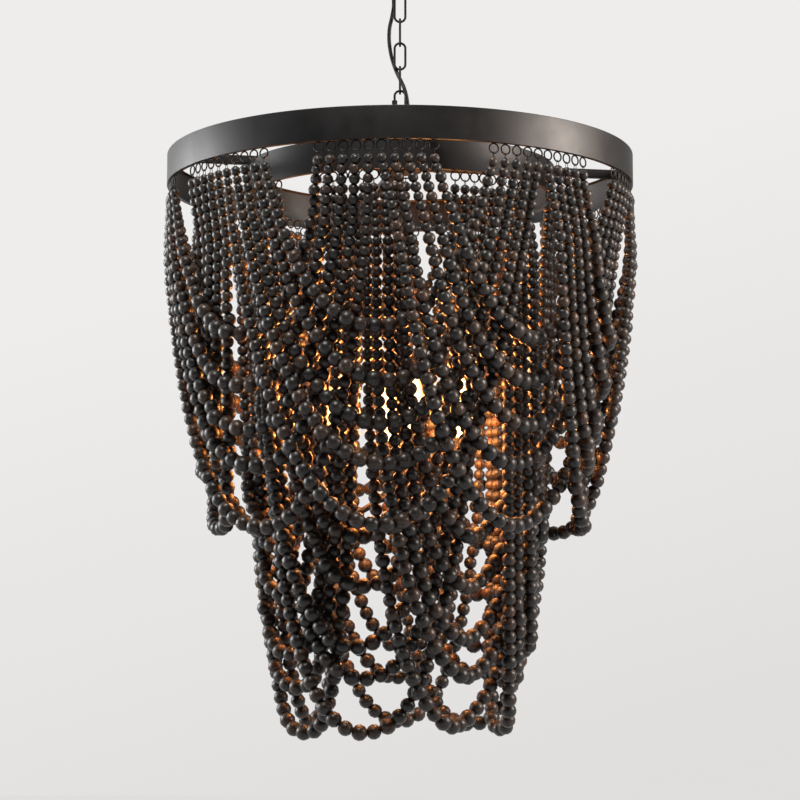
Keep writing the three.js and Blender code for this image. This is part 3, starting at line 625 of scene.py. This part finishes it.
# The bulb's outline: a contact, a cap whose radius follows a cosine once per turn of its thread,
# and a flame-shaped glass, widest at a third of its height.
rise = np.array([0, 0.03, 0.1, 0.22, 0.36, 0.52, 0.7, 0.88, 0.96, 1.0])
width = np.array([0.42, 0.45, 0.6, 0.88, 1, 0.93, 0.72, 0.4, 0.2, 0.0])
flame = np.stack([0 * rise, GLASS_RADIUS * width, GLASS_FOOT + GLASS_LENGTH * rise], axis=-1)
flame = smooth_route(flame, 6)[:, 1:]
flame[:, 0] = np.maximum(flame[:, 0], 0)
flame[-1, 0] = 0
heights = np.linspace(CAP_FOOT, CAP_HEAD, 60)
thread = THREAD_RADIUS + THREAD_RISE * np.cos((heights - heights[0]) / THREAD_PITCH * 2 * math.pi)
contact = np.array([(0, CAP_FOOT), (CONTACT_RADIUS, CAP_FOOT)])
bulb_outline = np.vstack([contact, np.stack([thread, heights], axis=-1), flame])

for number in range(4):
    turn = FIRST_SPOKE_TURN + number * math.pi / 2
    centre = turned_about(np.array([[0, -LAMP_RADIUS, 0]]), turn)[0, :2]
    arm, faces = tube(smooth_route(arm_route, SPAN_STEPS), ARM_DIAMETER, 20, (1, 0, 0))
    place(piece(f"lamp_arm_and_cup_{number + 1}",
                [(turned_about(arm, turn), faces), turned(drip_cup, 48, centre)], satin_black),
          "fixture", "black_paint", f"lamp_arm_{number + 1}")
    place(piece(f"candle_sleeve_tube_{number + 1}", [turned(sleeve, 40, centre)], satin_black),
          "fixture", "black_paint", f"candle_sleeve_{number + 1}")
    place(piece(f"lamp_holder_body_{number + 1}", [turned(holder, 40, centre)], cream_urea),
          "fixture", "cream_plastic", f"lamp_holder_{number + 1}")
    glass = piece(f"candle_bulb_{number + 1}", [turned(bulb_outline, 40, centre)], hot_glass)
    glass.visible_shadow = False
    place(glass, f"bulb_{number + 1}", "lit_glass", f"bulb_{number + 1}")
    glow = bpy.data.lights.new(f"bulb_glow_{number + 1}", "POINT")
    glow.color = GLOW_COLOUR
    glow.energy = GLOW_POWER
    glow.shadow_soft_size = GLOW_SIZE
    lamp = bpy.data.objects.new(f"bulb_glow_{number + 1}", glow)
    lamp.location = (*centre, GLOW_HEIGHT)
    lamp.visible_camera = False
    bpy.context.scene.collection.objects.link(lamp)


# Bead swags. Turned wooden beads, stained charcoal, graded from 12 mm at the ends of a strand to
# 20 mm at its lowest point and cut flat round the bore. Five strands make a set. Each end of a
# strand hangs by a wire eye in a jump ring under the hoop.
STRANDS = 5
TOP_BEAD = 12 * MM
LOW_BEAD = 20 * MM
BEAD_LENGTH_SHARE = 0.9
SIZE_SPREAD, SIZE_LIMIT = 0.04, 0.08
SAG_SPREAD, SAG_LIMIT = 3, 5
FULL_LEAN_DEPTH, LEAN_WIDTH = 90 * MM, 0.14
RING_DIAMETER = 13.4 * MM
RING_WIRE = 1.9 * MM
EYE_GAP = 3.6 * MM
EYE_WIRE, EYE_HALF_WIDTH = 0.9 * MM, 1.7 * MM
THREAD_DIAMETER = 1.1 * MM
TOUCH_REACH = 24 * MM
SETTLE_ROUNDS = 240
HOME_PULL = 0.02
random = np.random.default_rng(7)


def strand_paths(ring_radius, half_angles, top, sags, lay_over, steps=900):
    """Middle lines of the strands of one set, hung at the front. Each is a catenary, with
    height scale times (cosh(x / scale) - 1), between two rings on the hoop. Its left half leans
    out and its right half in by the lay-over, times the hyperbolic tangent of x and a smooth
    step of the depth."""
    half_span = ring_radius * np.sin(half_angles)
    distance = ring_radius * np.cos(half_angles)
    ratio = sags / half_span
    low, high = np.zeros_like(ratio), ratio + 2 * math.pi
    for _ in range(60):
        middle = (low + high) / 2
        too_deep = (np.cosh(middle) - 1) / middle > ratio
        low, high = np.where(too_deep, low, middle), np.where(too_deep, middle, high)
    shape = middle[:, None]
    scale = half_span[:, None] / shape
    x = scale * np.arcsinh(np.linspace(-1, 1, steps)[None] * np.sinh(shape))
    depth = sags[:, None] - scale * (np.cosh(x / scale) - 1)
    share = np.clip(depth / FULL_LEAN_DEPTH, 0, 1)
    lean = np.tanh(x / (half_span[:, None] * LEAN_WIDTH)) * share ** 2 * (3 - 2 * share)
    return np.stack([x, lay_over * lean - distance[:, None], top - depth], axis=-1)


def wandered(path, drift, belly, size):
    """A path moved a little off its line: by three sine waves along the strand, whose random
    reach is the size over the wave's number, more sideways than up, and sideways by the drift
    times the squared sine of half a turn, which moves its low point, and the belly times the
    sine of a whole turn, which moves its legs apart."""
    t = np.linspace(0, 1, len(path))[:, None]
    free = np.array([1, 0.7, 0.2])
    waves = sum(random.normal(0, size / wave, 3) * free * np.sin(wave * math.pi * t)
                for wave in (1, 2, 3))
    sideways = drift * np.sin(math.pi * t) ** 2 - belly * np.sin(2 * math.pi * t)
    return path + waves + sideways * np.array([1, 0, 0])


def string_beads(path):
    """Bead centres and diameters along a path. The diameter grows in step with the depth below
    the path's top. The running count of beads is the sum of path length over bead length, and
    a centre lies at each half count. Each bead is up to 8 percent larger or smaller."""
    length = np.linalg.norm(np.diff(path, axis=0), axis=1)
    depth_share = (path[:, 2].max() - path[:, 2]) / np.ptp(path[:, 2])
    wide = TOP_BEAD + (LOW_BEAD - TOP_BEAD) * depth_share
    bead_length = BEAD_LENGTH_SHARE * wide
    count = np.concatenate([[0], np.cumsum(length / ((bead_length[1:] + bead_length[:-1]) / 2))])
    beads = int(round(count[-1]))
    at = (np.arange(beads) + 0.5) * count[-1] / beads
    centres = np.stack([np.interp(at, count, path[:, axis]) for axis in range(3)], axis=-1)
    spread = np.clip(random.normal(1, SIZE_SPREAD, beads), 1 - SIZE_LIMIT, 1 + SIZE_LIMIT)
    return centres, np.interp(at, count, wide) * spread


def near_pairs(points, reach):
    """Pairs of points no farther apart than about the reach. The points are sorted into cubes
    of that size, and each cube is matched with itself and half of its 26 neighbours."""
    cell = np.floor((points - points.min(axis=0)) / reach).astype(np.int64) + 1
    span = cell.max(axis=0) + 2
    key = (cell[:, 0] * span[1] + cell[:, 1]) * span[2] + cell[:, 2]
    order = np.argsort(key, kind="stable")
    ordered = key[order]
    sides = (-1, 0, 1)
    steps = [(a * span[1] + b) * span[2] + c for a in sides for b in sides for c in sides]
    found = []
    for step in [s for s in steps if s >= 0]:
        low = np.searchsorted(ordered, ordered + step, "left")
        high = np.searchsorted(ordered, ordered + step, "right")
        if step == 0:
            low = np.arange(len(points)) + 1
        many = np.maximum(high - low, 0)
        one = np.repeat(np.arange(len(points)), many)
        before = np.concatenate([[0], np.cumsum(many)[:-1]])
        other = np.repeat(low - before, many) + np.arange(many.sum())
        found.append(np.stack([order[one], order[other]]))
    return np.concatenate(found, axis=1)


def settled(points, widths, strand):
    """Beads pushed out of one another. In each round two beads that overlap move apart by half
    the overlap each, neighbours on a strand move back to their bead length, the even ones and
    the odd ones by turns, and every bead goes a small share of the way back to where it hung.
    Beads within three places of each other on a strand don't push, and its end beads stay."""
    home = points.copy()
    points = points.copy()
    linked = np.flatnonzero(strand[1:] == strand[:-1])
    rest = BEAD_LENGTH_SHARE * (widths[linked] + widths[linked + 1]) / 2
    ends = np.flatnonzero(np.concatenate([[True], strand[1:] != strand[:-1], [True]]))
    ends = np.concatenate([ends[:-1], ends[1:] - 1])
    for count in range(SETTLE_ROUNDS):
        if count % 8 == 0:
            one, other = near_pairs(points, TOUCH_REACH)
            apart = (strand[one] != strand[other]) | (np.abs(one - other) > 3)
            one, other = one[apart], other[apart]
        gap = points[other] - points[one]
        distance = np.maximum(np.linalg.norm(gap, axis=1), 1e-6)
        overlap = (widths[one] + widths[other]) / 2 - distance
        touching = overlap > 0
        push = (gap / distance[:, None] * overlap[:, None] / 2)[touching]
        hit = np.concatenate([one[touching], other[touching]])
        push = np.concatenate([-push, push])
        hits = np.maximum(np.bincount(hit, minlength=len(points)), 1)
        for axis in range(3):
            points[:, axis] += np.bincount(hit, push[:, axis], len(points)) / hits ** 0.5
        for parity in (0, 1) * 3:
            pick = linked % 2 == parity
            first = linked[pick]
            gap = points[first + 1] - points[first]
            distance = np.linalg.norm(gap, axis=1)
            move = gap * ((distance - rest[pick]) / distance / 2)[:, None]
            points[first] += move
            points[first + 1] -= move
        points += (home - points) * HOME_PULL
        points[ends] = home[ends]
    return points


# Bead: a ball of twelve meridians, cut flat at both ends of the bore. Its levels are two poles,
# two rims, two circles halfway and the widest one.
rim_angle = math.asin(BEAD_LENGTH_SHARE)
latitude = rim_angle * np.array([-1, -1, -0.5, 0, 0.5, 1, 1])[:, None]
girth = np.cos(latitude) * np.array([0, 1, 1, 1, 1, 1, 0])[:, None]
angle = np.linspace(0, 2 * math.pi, 12, endpoint=False)
bead_points, bead_faces = closed_shape(0.5 * np.stack([
    girth * np.cos(angle), girth * np.sin(angle), np.sin(latitude) * np.ones_like(angle)], axis=-1))

# Charcoal stain on turned wood: dark streaks 1 to 3 mm long and half a millimetre apart along the
# grain, and a soft wax sheen. Each bead has its own tone, from near black to brown.
stained_wood, tree = finish_tree("charcoal_stained_wood")
tint = add(tree, "Attribute", attribute_name="stain_tint")
fibre = add(tree, "Attribute", attribute_name="wood_fibre")
stretch = add(tree, "Mapping", {"Vector": fibre.outputs["Vector"], "Scale": (850.0, 850.0, 170.0)})
streak = add(tree, "TexNoise", {"Vector": stretch.outputs["Vector"], "Scale": 1.0, "Detail": 3.0})
tone = add(tree, "ValToRGB", {"Fac": tint.outputs["Fac"]})
ramp(tone, [(0.0, "#1a1a19"), (0.35, "#25211f"), (0.65, "#332821"), (1.0, "#4d3627")])
dark = add(tree, "MapRange", {"Value": streak.outputs["Fac"], "From Min": 0.38, "From Max": 0.62,
                              "To Min": 0.35, "To Max": 1.6})
shade = add(tree, "VectorMath", {0: tone.outputs["Color"], 1: dark.outputs["Result"]},
            operation="MULTIPLY")
waxed = add(tree, "MapRange", {"Value": streak.outputs["Fac"], "From Min": 0.3, "From Max": 0.7,
                               "To Min": 0.5, "To Max": 0.95})
dent = add(tree, "Bump", {"Height": streak.outputs["Fac"], "Strength": 0.35, "Distance": 0.25 * MM})
skin = add(tree, "BsdfPrincipled", {
    "Base Color": shade.outputs["Vector"], "Roughness": 0.6, "IOR": 1.5, "Specular IOR Level": 0.25,
    "Coat Weight": waxed.outputs["Result"], "Coat Roughness": 0.32, "Coat IOR": 1.45,
    "Normal": dent.outputs["Normal"]})
add(tree, "OutputMaterial", {"Surface": skin.outputs["BSDF"]})

# Braided nylon thread, on which the beads are strung: dull black, with a fine plait.
nylon_thread, tree = finish_tree("braided_nylon_thread")
where = add(tree, "TexCoord").outputs["Object"]
plait = add(tree, "TexNoise", {"Vector": where, "Scale": 1500.0, "Detail": 1.0})
tone = add(tree, "ValToRGB", {"Fac": plait.outputs["Fac"]})
ramp(tone, [(0.35, "#0d0d0d"), (0.65, "#1d1b1a")])
skin = add(tree, "BsdfPrincipled", {
    "Base Color": tone.outputs["Color"], "Roughness": 0.7, "IOR": 1.53})
add(tree, "OutputMaterial", {"Surface": skin.outputs["BSDF"]})


def bead_mesh(centres, diameters, along):
    """All beads of a set as one shape: the bead's points, scaled, turned so that the bore lies
    along the strand, spun by a random angle about it, and moved to each centre."""
    count = len(centres)
    along = along / np.linalg.norm(along, axis=1, keepdims=True)
    side = random.normal(size=(count, 3))
    side -= along * np.einsum("ij,ij->i", side, along)[:, None]
    side /= np.linalg.norm(side, axis=1, keepdims=True)
    basis = np.stack([side, np.cross(along, side), along], axis=1)
    local = bead_points[None] * diameters[:, None, None]
    points = centres[:, None] + np.einsum("bpi,bij->bpj", local, basis)
    faces = bead_faces[None] + (np.arange(count) * len(bead_points))[:, None, None]
    fibre = local + random.uniform(0, 1, (count, 1, 3))
    tint = np.repeat(random.beta(2, 2.4, count), len(bead_points))
    return points.reshape(-1, 3), faces.reshape(-1, 4), fibre.reshape(-1, 3), tint


def ring_and_eye(plan, at, bead):
    """What holds one end of a strand, at an angle round the hoop. The jump ring is a circle that
    stands along the hoop, half its size below the lip. The eye is an ellipse from just inside
    the ring's foot to the middle of the end bead."""
    circle = np.linspace(0, 2 * math.pi, 16, endpoint=False)
    reach = (RING_DIAMETER - RING_WIRE) / 2
    centre = np.array([0, -plan["radius"], plan["bottom"] - RING_DIAMETER / 2])
    ring = centre + reach * np.stack([np.cos(circle), 0 * circle, np.sin(circle)], axis=-1)
    facing = turned_about(np.array([[0, 1.0, 0]]), at)[0]
    foot = turned_about(centre[None] - np.array([[0, 0, reach - RING_WIRE]]), at)[0]
    long = (foot - bead) / 2
    wide = np.cross(long, turned_about(np.array([[1.0, 0, 0]]), at)[0])
    wide = wide / np.linalg.norm(wide) * EYE_HALF_WIDTH
    eighths = circle[::2, None]
    eye = (foot + bead) / 2 + np.cos(eighths) * long + np.sin(eighths) * wide
    return [tube(turned_about(ring, at), RING_WIRE, 6, facing, closed=True),
            tube(eye, EYE_WIRE, 4, np.cross(long, wide) / MM ** 2, closed=True)]


# The two tiers. The rings of a set stand at the angles first, first + step and so on to either
# side of its middle, and turn is the first set's own angle, all in degrees. Sags are the depths
# of the five strands below the hoop. Lay and wander are the reaches of the lay-over and of the
# random waves. Lift, drift and belly vary single sets.
TIERS = {
    "outer": dict(
        sets=9, radius=296.3 * MM, first=27, step=2.9, turn=-5.5, bottom=-331.4 * MM,
        sags=440 * MM * np.array([0.495, 0.62, 0.739, 0.845, 1]),
        lay=9.5 * MM, wander=3.5 * MM,
        lift=np.zeros(9), drift=np.zeros(9), belly=np.zeros(9)),
    "inner": dict(
        sets=7, radius=196.3 * MM, first=34.6, step=3.73, turn=-14.8, bottom=-344.5 * MM,
        sags=678 * MM * np.array([0.659, 0.748, 0.851, 0.914, 1]),
        lay=11 * MM, wander=5 * MM,
        lift=MM * np.array([12, 12, 0, 0, 0, 0, 0]),
        drift=MM * np.array([-12, -7, 0, -24, -24, 0, 0]),
        belly=MM * np.array([0, 16, 0, 0, 0, 0, 0])),
}
for tier, plan in TIERS.items():
    half_angles = np.radians(plan["first"] + plan["step"] * np.arange(STRANDS))
    hang_height = plan["bottom"] - RING_DIAMETER - EYE_GAP
    turns = math.radians(plan["turn"]) + 2 * math.pi * np.arange(plan["sets"]) / plan["sets"]
    spots, widths, strands = [], [], []
    for number, turn in enumerate(turns):
        sags = plan["sags"] - RING_DIAMETER - EYE_GAP - plan["lift"][number]
        sags = sags + np.clip(random.normal(0, SAG_SPREAD, STRANDS), -SAG_LIMIT, SAG_LIMIT) * MM
        for line in strand_paths(plan["radius"], half_angles, hang_height, sags, plan["lay"]):
            line = wandered(line, plan["drift"][number], plan["belly"][number], plan["wander"])
            centres, wide = string_beads(turned_about(line, turn))
            spots.append(centres)
            widths.append(wide)
            strands.append(np.full(len(wide), len(strands)))
    counts = np.cumsum([0] + [len(wide) for wide in widths])
    spots, widths, strands = np.vstack(spots), np.concatenate(widths), np.concatenate(strands)
    spots = settled(spots, widths, strands)
    for number, turn in enumerate(turns):
        first = STRANDS * number
        own = slice(counts[first], counts[first + STRANDS])
        lines = [spots[counts[i]:counts[i + 1]] for i in range(first, first + STRANDS)]
        along = np.vstack([np.gradient(line, axis=0) for line in lines])
        points, faces, fibre_at, tint_at = bead_mesh(spots[own], widths[own], along)
        facing = turned_about(np.array([[0, 1.0, 0]]), turn)[0]
        threads = [tube(line, THREAD_DIAMETER, 4, facing) for line in lines]
        rings = []
        for side, end in ((-1, 0), (1, -1)):
            for line, lean in zip(lines, half_angles):
                rings += ring_and_eye(plan, turn + side * lean, line[end])
        swag = piece(f"{tier}_bead_swags_{number + 1}", [(points, faces)], stained_wood, crease=0)
        grain_field = swag.data.attributes.new("wood_fibre", "FLOAT_VECTOR", "POINT")
        grain_field.data.foreach_set("vector", fibre_at.astype(np.float32).ravel())
        tint_field = swag.data.attributes.new("stain_tint", "FLOAT", "POINT")
        tint_field.data.foreach_set("value", tint_at.astype(np.float32))
        body = f"{tier}_swag_set_{number + 1}"
        place(swag, body, "stained_wood", body)
        place(piece(f"{tier}_jump_rings_{number + 1}", rings, dark_wire), body, "black_paint")
        place(piece(f"{tier}_threads_{number + 1}", threads, nylon_thread), body, "black_plastic")


# Studio. A plain pale floor far below the hanging lamp, a pale surround whose mirror image
# darkens towards the front and the far right, and soft lamps from both sides and above.
FLOOR_HALF, FLOOR_HEIGHT = 30.0, -4.2
FLOOR_GLOW_SHARE = 0.9
AMBIENT_STRENGTH = 0.06
LAMP_DISTANCE = 2.1
LAMP_AIM = np.array([0, 0, -0.6])
LAMPS = {
    "left_softbox": dict(azimuth=-104, elevation=8, width=1.0, power=42, tint="#ffffff"),
    "right_softbox": dict(azimuth=76, elevation=18, width=1.0, power=58, tint="#fff1e6"),
    "top_key": dict(azimuth=-20, elevation=60, width=0.6, power=38, tint="#fffaf5"),
}


def background_rays(tree):
    """One for the rays that are to see the pale background: from the camera, mirrored, or
    through glass."""
    rays = add(tree, "LightPath")
    shiny = add(tree, "Math", {0: rays.outputs["Is Glossy Ray"],
                               1: rays.outputs["Is Transmission Ray"]}, operation="MAXIMUM")
    seen = add(tree, "Math", {0: rays.outputs["Is Camera Ray"], 1: shiny.outputs["Value"]},
               operation="MAXIMUM")
    return seen.outputs["Value"]


pale_floor, tree = finish_tree("pale_floor")
matt = add(tree, "BsdfDiffuse", {"Color": colour("#e6e4e2")})
bright = add(tree, "Emission", {"Color": colour("#eae8e7"), "Strength": background_rays(tree)})
bright_share = add(tree, "MixShader", {0: FLOOR_GLOW_SHARE, 1: matt.outputs["BSDF"],
                                       2: bright.outputs["Emission"]})
add(tree, "OutputMaterial", {"Surface": bright_share.outputs["Shader"]})
corners = np.array([(-1, -1), (1, -1), (1, 1), (-1, 1)]) * FLOOR_HALF
corners = np.column_stack([corners, np.full(4, FLOOR_HEIGHT)])
studio_floor = piece("studio_floor", [(corners, np.array([[0, 1, 2, 3]]))], pale_floor, crease=0)

world = bpy.data.worlds.new("studio")
world.use_nodes = True
tree = world.node_tree
tree.nodes.clear()
direction = add(tree, "TexCoord").outputs["Generated"]
split = add(tree, "SeparateXYZ", {0: direction})
behind = add(tree, "MapRange", {"Value": split.outputs["Y"], "From Min": -0.4, "From Max": 0.7,
                                "To Min": 0.03, "To Max": 1.0})
aside = add(tree, "MapRange", {"Value": split.outputs["X"], "From Min": 0.25, "From Max": 0.6,
                               "To Min": 1.0, "To Max": 0.25})
mirrored = add(tree, "Math", {0: behind.outputs["Result"], 1: aside.outputs["Result"]},
               operation="MULTIPLY")
straight = add(tree, "LightPath").outputs["Is Camera Ray"]
strength = add(tree, "Math", {0: straight, 1: mirrored.outputs["Value"]}, operation="MAXIMUM")
slant = add(tree, "Math", {0: split.outputs["X"], 1: -0.3, 2: split.outputs["Z"]},
            operation="MULTIPLY_ADD")
rise = add(tree, "MapRange", {"Value": slant.outputs["Value"], "From Min": -0.13, "From Max": 0.2})
wash = add(tree, "ValToRGB", {"Fac": rise.outputs["Result"]})
ramp(wash, [(0.0, "#e0dedd"), (1.0, "#eeedec")])
pale = add(tree, "Background", {"Color": wash.outputs["Color"],
                                "Strength": strength.outputs["Value"]})
ambient = add(tree, "Background", {"Color": colour("#ebeae9"), "Strength": AMBIENT_STRENGTH})
seen = add(tree, "MixShader", {0: background_rays(tree), 1: ambient.outputs["Background"],
                               2: pale.outputs["Background"]})
add(tree, "OutputWorld", {"Surface": seen.outputs["Shader"]})
bpy.context.scene.world = world

for name, given in LAMPS.items():
    softbox = bpy.data.lights.new(name, "AREA")
    softbox.shape = "RECTANGLE"
    softbox.size, softbox.size_y = given["width"], given["width"]
    softbox.energy = given["power"]
    softbox.color = colour(given["tint"])[:3]
    lamp = bpy.data.objects.new(name, softbox)
    a, e = math.radians(given["azimuth"]), math.radians(given["elevation"])
    reach = np.array([math.sin(a) * math.cos(e), -math.cos(a) * math.cos(e), math.sin(e)])
    lamp.location = LAMP_DISTANCE * reach + LAMP_AIM
    lamp.rotation_euler = (math.pi / 2 - e, 0, a)
    lamp.visible_camera = False
    bpy.context.scene.collection.objects.link(lamp)

bpy.context.scene.view_settings.view_transform = "Standard"
